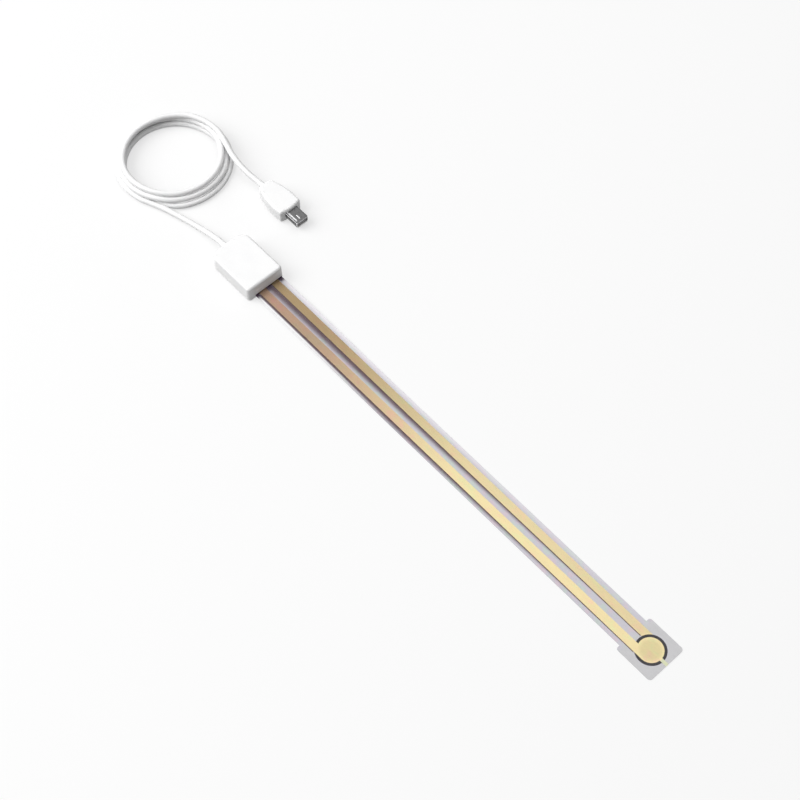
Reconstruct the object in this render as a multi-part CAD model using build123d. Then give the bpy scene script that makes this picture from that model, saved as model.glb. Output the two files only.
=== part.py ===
from build123d import *
import math
import os

# Force sensing resistor: a printed film strip with a round sensing area at its head,
# a small moulded housing on its tail, and a coiled cable that ends in a flat plug.
# Millimetres. The origin is the middle of the sensing area on the strip's underside,
# +X runs along the strip to the head's end edge, +Z is up.

# Sensor strip, outline
HEAD_END = 6.3
HEAD_LENGTH = 13.2
HEAD_WIDTH = 14.0
HEAD_CORNER = 1.1
SHOULDER_CORNER = 0.8
TAIL_WIDTH = 11.0
SENSOR_LENGTH = 191.0

# Sensor strip, layers from the bottom up
FILM_THICKNESS = 0.076
ELECTRODE_THICKNESS = 0.013
INK_THICKNESS = 0.0125
LAYER_GAP = 0.002

# Printed pattern
SENSING_RADIUS = 4.765
ELECTRODE_RADIUS = 3.9
TRACE_PITCH = 5.08
TRACE_WIDTH = 2.7
TRACE_END_MARGIN = 0.6
STUB_WIDTH = 1.1
STUB_Y = 0.1
SPACER_CLEARANCE = 0.25

# How the strip comes down from the housing's floor to the surface it lies on
DROOP_LENGTH = 84.0
DROOP_STEPS = 14

# Terminals crimped over the tail
CRIMP_LENGTH = 4.0
CRIMP_OVERLAP = 3.2
CRIMP_WIDTH = 2.0
CRIMP_SHEET = 0.2
PIN_LENGTH = 6.4
PIN_SIZE = 0.64
PIN_CHAMFER = 0.13

# Housing
TAIL_INSERTION = 10.4
HOUSING_LENGTH = 19.7
HOUSING_WIDTH = 14.4
HOUSING_HEIGHT = 6.0
HOUSING_Y = -1.0
HOUSING_WALL = 0.65
FLOOR_THICKNESS = 0.8
PARTING_HEIGHT = 2.6
COVER_DRAFT = 1.5
BACK_CROWN = 0.9
FRONT_CORNER = 1.2
BACK_CORNER = 3.2
TOP_EDGE_RADIUS = 0.9
BOTTOM_EDGE_RADIUS = 0.45
TONGUE_HEIGHT = 0.5
TONGUE_CLEARANCE = 0.05
SLOT_TOP = 1.5
SLOT_SIDE_CLEARANCE = 0.05
POCKET_CLEARANCE = 0.08
POCKET_SIDE_CLEARANCE = 0.2

# Circuit board and what is on it, placed from the board's back edge and middle line
BOARD_LENGTH = 14.0
BOARD_WIDTH = 12.0
BOARD_THICKNESS = 0.8
BOARD_BACK_GAP = 2.05
BOARD_CHAMFER = 0.5
RIB_WIDTH = 1.2
RIB_END_GAP = 1.6
RIB_BITE = 0.16
POST_SIZE = 0.9
POST_PLACE = 11.8
CHIP_PLACE = 9.0
CHIP_SIZE = 3.0
CHIP_THICKNESS = 0.85
CHIP_STANDOFF = 0.1
CHIP_CHAMFER = 0.14
LEAD_PITCH = 0.65
LEAD_WIDTH = 0.3
LEAD_SHEET = 0.15
LEAD_REACH = 0.95
LEAD_KNEE = 0.33
LEADS_A_SIDE = 4
CHIP_PART_LENGTH = 1.6
CHIP_PART_WIDTH = 0.8
RESISTOR_HEIGHT = 0.45
CAPACITOR_HEIGHT = 0.8
RESISTOR_PLACES = ((7.3, -4.2), (9.6, -4.2), (5.8, 4.2), (8.1, 4.2))
CAPACITOR_PLACES = ((4.8, -4.2), (10.2, 4.0))

# Conductors between the cable and the board
CONDUCTOR_DIAMETER = 0.5
CONDUCTOR_SPREAD = 0.27
PAD_PITCH = 1.2
SOLDER_LENGTH = 1.1
SOLDER_WIDTH = 0.8
SOLDER_HEIGHT = 0.6
SOLDER_PLACE = 4.0
CONDUCTOR_STRAIGHT = 1.2
CONDUCTOR_LANDING = 1.4
CONDUCTORS = (
    ("red_conductor", -1.5, -1, 1),
    ("black_conductor", -0.5, -1, -1),
    ("green_conductor", 0.5, 1, -1),
    ("white_conductor", 1.5, 1, 1),
)

# Moulded strain relief in the housing's back wall
FLANGE_RADIUS = 1.7
FLANGE_THICKNESS = 0.8
FLANGE_GAP = 0.1
NECK_RADIUS = 1.35
NECK_CLEARANCE = 0.04
RELIEF_LENGTH = 1.7
RELIEF_END_RADIUS = 1.1

# Cable
CABLE_DIAMETER = 2.0
COIL_X = -227.1
COIL_Y = 8.8
COIL_INNER_RADIUS = 14.95
COIL_OUTER_RADIUS = 20.15
COIL_HEIGHT = 5.45
COIL_CHAMFER = 0.7
CREST_RADIUS = 17.45
CREST_HEIGHT = 5.1
CREST_START = 85.0
CREST_SWEEP = 52.0
CREST_MARGIN = 0.04

# Points that the cable runs past, chosen along its way
HOUSING_ROUTE = (
    (-190.9, -1.0, 2.6),
    (-195.3, -1.3, 1.75),
    (-200.0, -2.0, 1.1),
    (-205.4, -3.15, 1.0),
)
COIL_ENTRY_ROUTE = (
    (-214.4, -5.7, 1.0),
    (-219.6, -7.8, 1.0),
)
COIL_LEAVING_ROUTE = (
    (-225.6, 26.33, 5.1),
    (-222.2, 25.95, 5.1),
    (-217.6, 24.65, 5.05),
    (-213.2, 23.4, 4.65),
)
PLUG_ROUTE = (
    (-207.9, 23.05, 3.75),
    (-204.0, 23.3, 3.0),
    (-200.3, 23.75, 2.65),
)

# Plug
PLUG_Y = 23.75
PLUG_BACK = -197.3
PLUG_LENGTH = 13.1
PLUG_BACK_WIDTH = 5.0
PLUG_WIDE_PLACE = 7.5
PLUG_WIDE_WIDTH = 8.7
PLUG_FRONT_WIDTH = 8.5
PLUG_FRONT_BULGE = 0.7
PLUG_HEIGHT = 5.3
PLUG_EDGE_RADIUS = 0.9
PLUG_BACK_CORNER = 1.6
PLUG_FRONT_CORNER = 0.6

SHELL_PROUD = 6.1
SHELL_SEATED = 4.0
SHELL_WIDTH = 5.1
SHELL_BOTTOM_WIDTH = 4.6
SHELL_HEIGHT = 2.6
SHELL_SHEET = 0.3
SHELL_CORNER = 0.65
SHELL_TIP_CORNER = 0.7
SHELL_STEP = 1.3
SHELL_SEAM = 0.1
GROOVE_RADIUS = 0.4
GROOVE_DEPTH = 0.17
GROOVE_END = 0.75
# Each groove's place beside the middle line, and its length
GROOVES = ((-1.65, 4.9), (-0.25, 2.4))

SHELL_CLEARANCE = 0.03
INSULATOR_CLEARANCE = 0.03
INSULATOR_BLOCK = 4.6
TONGUE_LENGTH = 5.1
TONGUE_WIDTH = 3.7
TONGUE_THICKNESS = 1.3
CONTACT_COUNT = 5
CONTACT_PITCH = 0.7
CONTACT_WIDTH = 0.35
CONTACT_THICKNESS = 0.12
CONTACT_SETBACK = 0.3

# Worked out from the sizes above
FILM_EXIT_HEIGHT = FLOOR_THICKNESS
GAP_THICKNESS = 2 * (ELECTRODE_THICKNESS + INK_THICKNESS)
GAP_MIDDLE = FILM_THICKNESS + GAP_THICKNESS / 2
STRIP_THICKNESS = 2 * FILM_THICKNESS + GAP_THICKNESS
TAIL_END = HEAD_END - SENSOR_LENGTH + PIN_LENGTH + CRIMP_LENGTH - CRIMP_OVERLAP
HOUSING_FRONT = TAIL_END + TAIL_INSERTION
HOUSING_BACK = HOUSING_FRONT - HOUSING_LENGTH
PIN_MIDDLE = FILM_EXIT_HEIGHT + STRIP_THICKNESS / 2
BOARD_BOTTOM = PIN_MIDDLE + PIN_SIZE / 2
BOARD_TOP = BOARD_BOTTOM + BOARD_THICKNESS
BOARD_BACK = HOUSING_BACK + HOUSING_WALL + BOARD_BACK_GAP
POST_X = BOARD_BACK + POST_PLACE
CHIP_X = BOARD_BACK + CHIP_PLACE
SOLDER_X = BOARD_BACK + SOLDER_PLACE
CEILING = HOUSING_HEIGHT - HOUSING_WALL
FLANGE_FACE = HOUSING_BACK + HOUSING_WALL + FLANGE_GAP
CONDUCTOR_START = FLANGE_FACE + FLANGE_THICKNESS
CABLE_START = HOUSING_BACK - RELIEF_LENGTH
CABLE_RADIUS = CABLE_DIAMETER / 2
PLUG_MIDDLE = PLUG_HEIGHT / 2
PLUG_FRONT = PLUG_BACK + PLUG_LENGTH
SHELL_TIP = PLUG_FRONT + SHELL_PROUD
SHELL_BACK = PLUG_FRONT - SHELL_SEATED


def box_between(x0, x1, y0, y1, z0, z1):
    """Return a box from its low and high corners."""
    block = Box(x1 - x0, y1 - y0, z1 - z0)
    return Pos((x0 + x1) / 2, (y0 + y1) / 2, (z0 + z1) / 2) * block


def rectangle_between(x0, x1, y0, y1):
    """Return a flat rectangle in XY from its low and high corners."""
    return Pos((x0 + x1) / 2, (y0 + y1) / 2) * Rectangle(x1 - x0, y1 - y0)


def strip_height(x):
    """Height of the strip's underside at x: level in the housing, then a clamped beam's sag."""
    share = min(max((x - HOUSING_FRONT) / DROOP_LENGTH, 0.0), 1.0)
    return FILM_EXIT_HEIGHT * (1 - share) ** 3 * (1 + 3 * share)


def strip_stations():
    """Places along X where the strip's slope changes."""
    margin = 1.0
    step = DROOP_LENGTH / DROOP_STEPS
    inner = [HOUSING_FRONT + step * i for i in range(DROOP_STEPS + 1)]
    return [TAIL_END - margin] + inner + [HEAD_END + margin]


def strip_layer(outline, bottom, top):
    """Cut an outline out of the band that lies between two heights above the strip's underside."""
    stations = strip_stations()
    lower = [(x, strip_height(x) + bottom) for x in stations]
    upper = [(x, strip_height(x) + top) for x in reversed(stations)]
    profile = Plane.XZ * make_face(Polyline(*lower, *upper, close=True))
    band = extrude(profile, amount=HEAD_WIDTH, both=True)
    return band & Pos(0, 0, -1) * extrude(outline, amount=FILM_EXIT_HEIGHT + 3)


def film_outline():
    """The strip's outline: a straight tail with a wider square head."""
    head_back = HEAD_END - HEAD_LENGTH
    head = rectangle_between(head_back, HEAD_END, -HEAD_WIDTH / 2, HEAD_WIDTH / 2)
    by_x = head.vertices().sort_by(Axis.X)
    head = fillet(by_x[2:], HEAD_CORNER)
    by_x = head.vertices().sort_by(Axis.X)
    head = fillet(by_x[:2], SHOULDER_CORNER)
    tail = rectangle_between(TAIL_END, HEAD_END - HEAD_LENGTH / 2, -TAIL_WIDTH / 2, TAIL_WIDTH / 2)
    return head + tail


def trace_outline(side, inset):
    """One printed conductor: the disc in the middle of the head and its trace along the tail."""
    middle = side * TRACE_PITCH / 2
    half = TRACE_WIDTH / 2 - inset
    start = TAIL_END + TRACE_END_MARGIN + inset
    trace = rectangle_between(start, 0, middle - half, middle + half)
    return Circle(ELECTRODE_RADIUS - inset) + trace


def upper_trace_outline(inset):
    """The upper conductor also has a short stub out to the head's end edge."""
    half = STUB_WIDTH / 2 - inset
    return trace_outline(-1, inset) + rectangle_between(0, HEAD_END, STUB_Y - half, STUB_Y + half)


def thin_layer(outline, bottom, top):
    """A printed or glued layer, a little thinner than the space it fills."""
    return strip_layer(outline, bottom + LAYER_GAP, top - LAYER_GAP)


def make_strip():
    """The laminate: two films, two printed conductors, two ink discs and the spacer between."""
    outline = film_outline()
    gap_top = FILM_THICKNESS + GAP_THICKNESS
    lower_top = FILM_THICKNESS + ELECTRODE_THICKNESS
    upper_bottom = gap_top - ELECTRODE_THICKNESS
    lower_space = strip_layer(trace_outline(1, 0), FILM_THICKNESS, lower_top)
    upper_space = strip_layer(upper_trace_outline(0), upper_bottom, gap_top)
    disc = Circle(SENSING_RADIUS)
    window = Circle(SENSING_RADIUS + SPACER_CLEARANCE)
    spacer = thin_layer(outline - window, FILM_THICKNESS, gap_top)
    return {
        "base_film": strip_layer(outline, 0, FILM_THICKNESS),
        "lower_electrode": thin_layer(trace_outline(1, LAYER_GAP), FILM_THICKNESS, lower_top),
        "lower_ink": thin_layer(disc, FILM_THICKNESS, GAP_MIDDLE) - lower_space,
        "spacer_adhesive": spacer - lower_space - upper_space,
        "upper_ink": thin_layer(disc, GAP_MIDDLE, gap_top) - upper_space,
        "upper_electrode": thin_layer(upper_trace_outline(LAYER_GAP), upper_bottom, gap_top),
        "top_film": strip_layer(outline, gap_top, STRIP_THICKNESS),
    }


def make_terminal(side):
    """A sheet crimp folded over the tail's end, with a square pin behind it."""
    middle = side * TRACE_PITCH / 2
    half = CRIMP_WIDTH / 2
    back = TAIL_END + CRIMP_OVERLAP - CRIMP_LENGTH
    low = FILM_EXIT_HEIGHT - CRIMP_SHEET
    high = FILM_EXIT_HEIGHT + STRIP_THICKNESS + CRIMP_SHEET
    crimp = box_between(back, TAIL_END + CRIMP_OVERLAP, middle - half, middle + half, low, high)
    crimp -= box_between(TAIL_END, TAIL_END + CRIMP_LENGTH, middle - half, middle + half,
                         FILM_EXIT_HEIGHT, FILM_EXIT_HEIGHT + STRIP_THICKNESS)
    pin_half = PIN_SIZE / 2
    pin = box_between(back - PIN_LENGTH, back, middle - pin_half, middle + pin_half,
                      PIN_MIDDLE - pin_half, PIN_MIDDLE + pin_half)
    tip = pin.faces().sort_by(Axis.X)[0].edges()
    return crimp + chamfer(tip, PIN_CHAMFER)


def housing_plan(inset):
    """The housing's outline seen from above, moved inwards by inset."""
    half = HOUSING_WIDTH / 2 - inset
    low, high = HOUSING_Y - half, HOUSING_Y + half
    front = HOUSING_FRONT - inset
    back = HOUSING_BACK + inset
    side_back = back + BACK_CROWN
    edges = Polyline((side_back, low), (front, low), (front, high), (side_back, high))
    edges += ThreePointArc((side_back, high), (back, HOUSING_Y), (side_back, low))
    face = make_face(edges)
    face = fillet(face.vertices().sort_by(Axis.X)[-2:], FRONT_CORNER - inset)
    return fillet(face.vertices().sort_by(Axis.X)[:2], BACK_CORNER - inset)


def housing_prism(inset, bottom, top, taper=0.0):
    """A prism of the housing's outline between two heights, narrowing upwards by taper degrees."""
    return Pos(0, 0, bottom) * extrude(housing_plan(inset), amount=top - bottom, taper=taper)


def cable_hole():
    """The round hole in the back wall that the strain relief's neck sits in."""
    radius = NECK_RADIUS + NECK_CLEARANCE
    hole = Cylinder(radius, 4 * HOUSING_WALL, rotation=(0, 90, 0))
    return Pos(HOUSING_BACK + HOUSING_WALL / 2, HOUSING_Y, PARTING_HEIGHT) * hole


def slot_block(clearance, bottom, top):
    """A block across the front wall as wide as the strip, for the slot and the lip that closes it."""
    half = TAIL_WIDTH / 2 + SLOT_SIDE_CLEARANCE - clearance
    return box_between(HOUSING_FRONT - 2 * HOUSING_WALL, HOUSING_FRONT + 1, -half, half, bottom, top)


def make_base():
    """Lower shell: floor, walls, tongue round the top edge, board ribs and terminal pockets."""
    base = housing_prism(0, 0, PARTING_HEIGHT)
    base = fillet(base.faces().sort_by(Axis.Z)[0].edges(), BOTTOM_EDGE_RADIUS)
    tongue_top = PARTING_HEIGHT + TONGUE_HEIGHT
    base += housing_prism(HOUSING_WALL / 2 + TONGUE_CLEARANCE, PARTING_HEIGHT, tongue_top)
    base -= housing_prism(HOUSING_WALL, FLOOR_THICKNESS, tongue_top)
    base -= slot_block(0, FILM_EXIT_HEIGHT, tongue_top)
    base -= cable_hole()
    inner_half = HOUSING_WIDTH / 2 - HOUSING_WALL
    rib_back = BOARD_BACK + RIB_END_GAP
    board_front = BOARD_BACK + BOARD_LENGTH
    low_wall, high_wall = HOUSING_Y - inner_half, HOUSING_Y + inner_half
    base += box_between(rib_back, board_front - RIB_END_GAP, low_wall - RIB_BITE, low_wall + RIB_WIDTH,
                        FLOOR_THICKNESS, BOARD_BOTTOM)
    base += box_between(rib_back, TAIL_END - RIB_END_GAP, high_wall - RIB_WIDTH, high_wall + RIB_BITE,
                        FLOOR_THICKNESS, BOARD_BOTTOM)
    pocket_floor = PIN_MIDDLE - PIN_SIZE / 2 - POCKET_CLEARANCE
    pocket_half = CRIMP_WIDTH / 2 + POCKET_SIDE_CLEARANCE
    pocket_back = TAIL_END + CRIMP_OVERLAP - CRIMP_LENGTH - PIN_LENGTH - POCKET_SIDE_CLEARANCE
    pocket_front = TAIL_END + CRIMP_OVERLAP + POCKET_SIDE_CLEARANCE
    for side in (-1, 1):
        middle = side * TRACE_PITCH / 2
        base -= box_between(pocket_back, pocket_front, middle - pocket_half, middle + pocket_half,
                            pocket_floor, FLOOR_THICKNESS)
    return base


def make_cover():
    """Upper shell: drafted walls, rounded top, a lip that closes the slot and two board posts."""
    cover = housing_prism(0, PARTING_HEIGHT, HOUSING_HEIGHT, COVER_DRAFT)
    cover = fillet(cover.faces().sort_by(Axis.Z)[-1].edges(), TOP_EDGE_RADIUS)
    cover -= housing_prism(HOUSING_WALL, PARTING_HEIGHT, CEILING, COVER_DRAFT)
    cover -= housing_prism(HOUSING_WALL / 2, PARTING_HEIGHT,
                           PARTING_HEIGHT + TONGUE_HEIGHT + TONGUE_CLEARANCE)
    shell = housing_prism(0, SLOT_TOP, PARTING_HEIGHT + TONGUE_HEIGHT)
    shell -= housing_prism(HOUSING_WALL, SLOT_TOP, PARTING_HEIGHT + TONGUE_HEIGHT)
    lip = slot_block(SLOT_SIDE_CLEARANCE, SLOT_TOP, PARTING_HEIGHT + TONGUE_HEIGHT + TONGUE_CLEARANCE)
    cover += shell & lip
    cover -= cable_hole()
    board_low = HOUSING_Y - BOARD_WIDTH / 2
    board_high = HOUSING_Y + BOARD_WIDTH / 2
    half = POST_SIZE / 2
    for y in (board_low + POST_SIZE, board_high - POST_SIZE):
        cover += box_between(POST_X - half, POST_X + half, y - half, y + half,
                             BOARD_TOP, CEILING + HOUSING_WALL / 2)
    return cover


def make_board():
    """The circuit board, with its corners cut off."""
    half = BOARD_WIDTH / 2
    plate = rectangle_between(BOARD_BACK, BOARD_BACK + BOARD_LENGTH, HOUSING_Y - half, HOUSING_Y + half)
    plate = chamfer(plate.vertices(), BOARD_CHAMFER)
    return Pos(0, 0, BOARD_BOTTOM) * extrude(plate, amount=BOARD_THICKNESS)


def make_chip():
    """The amplifier's body, with a chamfer round its top edge."""
    bottom = BOARD_TOP + CHIP_STANDOFF
    body = Pos(CHIP_X, HOUSING_Y, bottom + CHIP_THICKNESS / 2) * Box(CHIP_SIZE, CHIP_SIZE, CHIP_THICKNESS)
    return chamfer(body.faces().sort_by(Axis.Z)[-1].edges(), CHIP_CHAMFER)


def make_chip_leads():
    """Bent sheet leads from the middle of the chip's sides down to the board."""
    side = CHIP_SIZE / 2
    middle = BOARD_TOP + CHIP_STANDOFF + CHIP_THICKNESS / 2
    high, low = middle + LEAD_SHEET / 2, middle - LEAD_SHEET / 2
    knee = side + LEAD_KNEE
    foot = side + LEAD_REACH
    shape = Polyline((side, low), (knee, low), (knee, BOARD_TOP), (foot, BOARD_TOP),
                     (foot, BOARD_TOP + LEAD_SHEET), (knee + LEAD_SHEET, BOARD_TOP + LEAD_SHEET),
                     (knee + LEAD_SHEET, high), (side, high), close=True)
    lead = extrude(Plane.YZ * make_face(shape), amount=LEAD_WIDTH / 2, both=True)
    leads = []
    for i in range(LEADS_A_SIDE):
        x = CHIP_X + LEAD_PITCH * (i - (LEADS_A_SIDE - 1) / 2)
        leads.append(Pos(x, HOUSING_Y, 0) * lead)
        leads.append(Pos(x, HOUSING_Y, 0) * Rot(0, 0, 180) * lead)
    return Compound(children=leads)


def make_chip_parts(places, height):
    """A group of small flat components that stand on the board."""
    block = Box(CHIP_PART_LENGTH, CHIP_PART_WIDTH, height)
    middle = BOARD_TOP + height / 2
    return Compound(children=[Pos(BOARD_BACK + x, HOUSING_Y + y, middle) * block for x, y in places])


def make_solder():
    """Solder joints, one for each conductor's end."""
    joints = []
    half = SOLDER_WIDTH / 2
    for _, place, _, _ in CONDUCTORS:
        y = HOUSING_Y + place * PAD_PITCH
        joint = box_between(SOLDER_X, SOLDER_X + SOLDER_LENGTH, y - half, y + half,
                            BOARD_TOP, BOARD_TOP + SOLDER_HEIGHT)
        top = joint.faces().sort_by(Axis.Z)[-1].edges().sort_by(Axis.X)[-1]
        joints.append(fillet(top, SOLDER_HEIGHT / 2))
    return Compound(children=joints)


def tube_along(points, diameter, name):
    """A round tube along straight runs joined by arcs as large as the runs allow."""
    vectors = [Vector(*point) for point in points]
    radii = []
    for before, corner, after in zip(vectors, vectors[1:], vectors[2:]):
        run = min((corner - before).length, (after - corner).length)
        turn = (corner - before).get_angle(after - corner)
        radii.append(0.45 * run / math.tan(math.radians(turn / 2)))
    path = FilletPolyline(*vectors, radius=radii)
    start = Plane(origin=vectors[0], z_dir=vectors[1] - vectors[0])
    tube = sweep(start * Circle(diameter / 2), path=path)
    drawn = math.pi * diameter ** 2 / 4 * path.length
    print(name, "length", round(path.length, 2), "radii", [round(radius, 1) for radius in radii],
          "volume ratio", round(tube.volume / drawn, 5))
    return tube


def halfway(first, second):
    """Return the point halfway between two others."""
    return tuple((a + b) / 2 for a, b in zip(first, second))


def make_conductors():
    """The four insulated wires from the cable's end to their solder joints."""
    wires = {}
    radius = CONDUCTOR_DIAMETER / 2
    for name, place, side, level in CONDUCTORS:
        y0 = HOUSING_Y + side * CONDUCTOR_SPREAD
        z0 = PARTING_HEIGHT + level * CONDUCTOR_SPREAD
        y1 = HOUSING_Y + place * PAD_PITCH
        z1 = BOARD_TOP + radius
        points = (
            (CONDUCTOR_START, y0, z0),
            (CONDUCTOR_START + CONDUCTOR_STRAIGHT, y0, z0),
            (SOLDER_X - CONDUCTOR_LANDING, y1, z1),
            (SOLDER_X, y1, z1),
        )
        wires[name] = tube_along(points, CONDUCTOR_DIAMETER, name)
    return wires


def make_strain_relief():
    """A turned form: inner flange, neck in the wall and a short cone round the cable."""
    neck_end = HOUSING_BACK - FLANGE_GAP
    profile = Polyline(
        (CONDUCTOR_START, 0), (CONDUCTOR_START, FLANGE_RADIUS), (FLANGE_FACE, FLANGE_RADIUS),
        (FLANGE_FACE, NECK_RADIUS), (neck_end, NECK_RADIUS), (CABLE_START, RELIEF_END_RADIUS),
        (CABLE_START, 0), close=True)
    body = revolve(Plane.XZ * make_face(profile), axis=Axis.X)
    return Pos(0, HOUSING_Y, PARTING_HEIGHT) * body


def make_coil():
    """The coil as one solid of its outer shape, with the cable's two ends where they leave it."""
    section = Rectangle(COIL_OUTER_RADIUS - COIL_INNER_RADIUS, COIL_HEIGHT)
    section = chamfer(section.vertices(), COIL_CHAMFER)
    middle = (COIL_OUTER_RADIUS + COIL_INNER_RADIUS) / 2
    ring = revolve(Plane.XZ * Pos(middle, COIL_HEIGHT / 2) * section, axis=Axis.Z)
    crest = Plane.XZ * Pos(CREST_RADIUS, CREST_HEIGHT) * Circle(CABLE_RADIUS + CREST_MARGIN)
    ring += Rot(0, 0, CREST_START) * revolve(crest, axis=Axis.Z, revolution_arc=CREST_SWEEP)
    ring = Pos(COIL_X, COIL_Y, 0) * ring
    entry = (halfway(HOUSING_ROUTE[-1], COIL_ENTRY_ROUTE[0]),) + COIL_ENTRY_ROUTE
    leaving = COIL_LEAVING_ROUTE + (halfway(COIL_LEAVING_ROUTE[-1], PLUG_ROUTE[0]),)
    ring += tube_along(entry, CABLE_DIAMETER, "coil entry")
    return ring + tube_along(leaving, CABLE_DIAMETER, "coil leaving")


def plug_plan():
    """The plug body's outline seen from above: flat back, swelling sides and a bowed front."""
    back, wide, front = PLUG_BACK_WIDTH / 2, PLUG_WIDE_WIDTH / 2, PLUG_FRONT_WIDTH / 2
    wide_x = PLUG_BACK + PLUG_WIDE_PLACE
    edges = Line((PLUG_BACK, -back), (PLUG_BACK, back))
    edges += ThreePointArc((PLUG_BACK, back), (wide_x, wide), (PLUG_FRONT, front))
    edges += ThreePointArc((PLUG_FRONT, front), (PLUG_FRONT + PLUG_FRONT_BULGE, 0), (PLUG_FRONT, -front))
    edges += ThreePointArc((PLUG_FRONT, -front), (wide_x, -wide), (PLUG_BACK, -back))
    face = make_face(edges)
    face = fillet(face.vertices().sort_by(Axis.X)[-2:], PLUG_FRONT_CORNER)
    return fillet(face.vertices().sort_by(Axis.X)[:2], PLUG_BACK_CORNER)


def shell_section(inset):
    """The plug shell's section, wider at the top, moved inwards by inset."""
    top_half = SHELL_WIDTH / 2 - inset
    bottom_half = SHELL_BOTTOM_WIDTH / 2 - inset
    high = SHELL_HEIGHT / 2 - inset
    step = high - SHELL_STEP
    shape = Polyline((-top_half, high), (top_half, high), (top_half, step), (bottom_half, -high),
                     (-bottom_half, -high), (-top_half, step), close=True)
    face = make_face(shape)
    return fillet(face.vertices(), SHELL_CORNER - inset)


def along_x(face, x0, x1):
    """Extrude a section drawn in YZ between two places along X, on the plug's middle line."""
    return Pos(x0, PLUG_Y, PLUG_MIDDLE) * extrude(Plane.YZ * face, amount=x1 - x0)


def shell_plan():
    """A block of the shell's outline seen from above, with its corners rounded at the tip."""
    half = SHELL_WIDTH / 2
    face = rectangle_between(SHELL_BACK, SHELL_TIP, PLUG_Y - half, PLUG_Y + half)
    face = fillet(face.vertices().sort_by(Axis.X)[-2:], SHELL_TIP_CORNER)
    return extrude(face, amount=PLUG_HEIGHT)


def groove_cutter(length):
    """A round-ended rod along -X that presses a groove of GROOVE_DEPTH into the face at z = 0."""
    span = length - 2 * GROOVE_RADIUS
    rod = Cylinder(GROOVE_RADIUS, span, rotation=(0, 90, 0))
    for side in (-1, 1):
        rod += Pos(side * span / 2, 0, 0) * Sphere(GROOVE_RADIUS)
    return Pos(-length / 2, 0, GROOVE_RADIUS - GROOVE_DEPTH) * rod


def make_plug():
    """The plug: moulded body, rolled shell, insulator with its tongue, and the contacts."""
    body = Pos(0, PLUG_Y, 0) * extrude(plug_plan(), amount=PLUG_HEIGHT)
    faces = body.faces().sort_by(Axis.Z)
    body = fillet(faces[0].edges() + faces[-1].edges(), PLUG_EDGE_RADIUS)
    body -= along_x(shell_section(-SHELL_CLEARANCE), SHELL_BACK, SHELL_TIP)

    shell = along_x(shell_section(0) - shell_section(SHELL_SHEET), SHELL_BACK, SHELL_TIP)
    top = PLUG_MIDDLE + SHELL_HEIGHT / 2
    shell -= box_between(SHELL_BACK, SHELL_TIP, PLUG_Y - SHELL_SEAM / 2, PLUG_Y + SHELL_SEAM / 2,
                         PLUG_MIDDLE - SHELL_HEIGHT / 2, PLUG_MIDDLE)
    for side, length in GROOVES:
        shell -= Pos(SHELL_TIP - GROOVE_END, PLUG_Y + side, top) * groove_cutter(length)
    shell &= shell_plan()

    inner = shell_section(SHELL_SHEET + INSULATOR_CLEARANCE)
    block_end = SHELL_BACK + INSULATOR_BLOCK
    insulator = along_x(inner, SHELL_BACK, block_end)
    tongue_end = block_end + TONGUE_LENGTH
    half = TONGUE_THICKNESS / 2
    insulator += box_between(block_end, tongue_end, PLUG_Y - TONGUE_WIDTH / 2, PLUG_Y + TONGUE_WIDTH / 2,
                             PLUG_MIDDLE - half, PLUG_MIDDLE + half)
    contacts = []
    for i in range(CONTACT_COUNT):
        y = PLUG_Y + CONTACT_PITCH * (i - (CONTACT_COUNT - 1) / 2)
        contacts.append(box_between(block_end, tongue_end - CONTACT_SETBACK,
                                    y - CONTACT_WIDTH / 2, y + CONTACT_WIDTH / 2,
                                    PLUG_MIDDLE - half - CONTACT_THICKNESS, PLUG_MIDDLE - half))
    return {
        "plug_body": body,
        "plug_shell": shell,
        "plug_insulator": insulator,
        "plug_contacts": Compound(children=contacts),
    }


def make_parts():
    """Every sub-part by its name."""
    cable_start = (CABLE_START, HOUSING_Y, PARTING_HEIGHT)
    coil_start = halfway(HOUSING_ROUTE[-1], COIL_ENTRY_ROUTE[0])
    coil_end = halfway(COIL_LEAVING_ROUTE[-1], PLUG_ROUTE[0])
    plug_end = (PLUG_BACK, PLUG_Y, PLUG_MIDDLE)
    housing_lead = (cable_start,) + HOUSING_ROUTE + (coil_start,)
    plug_lead = (coil_end,) + PLUG_ROUTE + (plug_end,)
    parts = make_strip()
    parts["lower_terminal"] = make_terminal(1)
    parts["upper_terminal"] = make_terminal(-1)
    parts["housing_base"] = make_base()
    parts["housing_cover"] = make_cover()
    parts["circuit_board"] = make_board()
    parts["amplifier_chip"] = make_chip()
    parts["chip_leads"] = make_chip_leads()
    parts["chip_resistors"] = make_chip_parts(RESISTOR_PLACES, RESISTOR_HEIGHT)
    parts["chip_capacitors"] = make_chip_parts(CAPACITOR_PLACES, CAPACITOR_HEIGHT)
    parts["solder_joints"] = make_solder()
    parts.update(make_conductors())
    parts["strain_relief"] = make_strain_relief()
    parts["housing_lead"] = tube_along(housing_lead, CABLE_DIAMETER, "housing lead")
    parts["cable_coil"] = make_coil()
    parts["plug_lead"] = tube_along(plug_lead, CABLE_DIAMETER, "plug lead")
    parts.update(make_plug())
    return parts


if __name__ == "__main__":
    os.makedirs("parts", exist_ok=True)
    for node, solid in make_parts().items():
        export_step(solid, os.path.join("parts", node + ".step"))
        print(node, "volume", round(solid.volume, 3), "solids", len(solid.solids()))
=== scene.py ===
import logging
import math
from dataclasses import dataclass
from enum import Enum
from typing import Any, Iterable, Optional, Union

import bpy
from mathutils import Matrix, Vector


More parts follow.
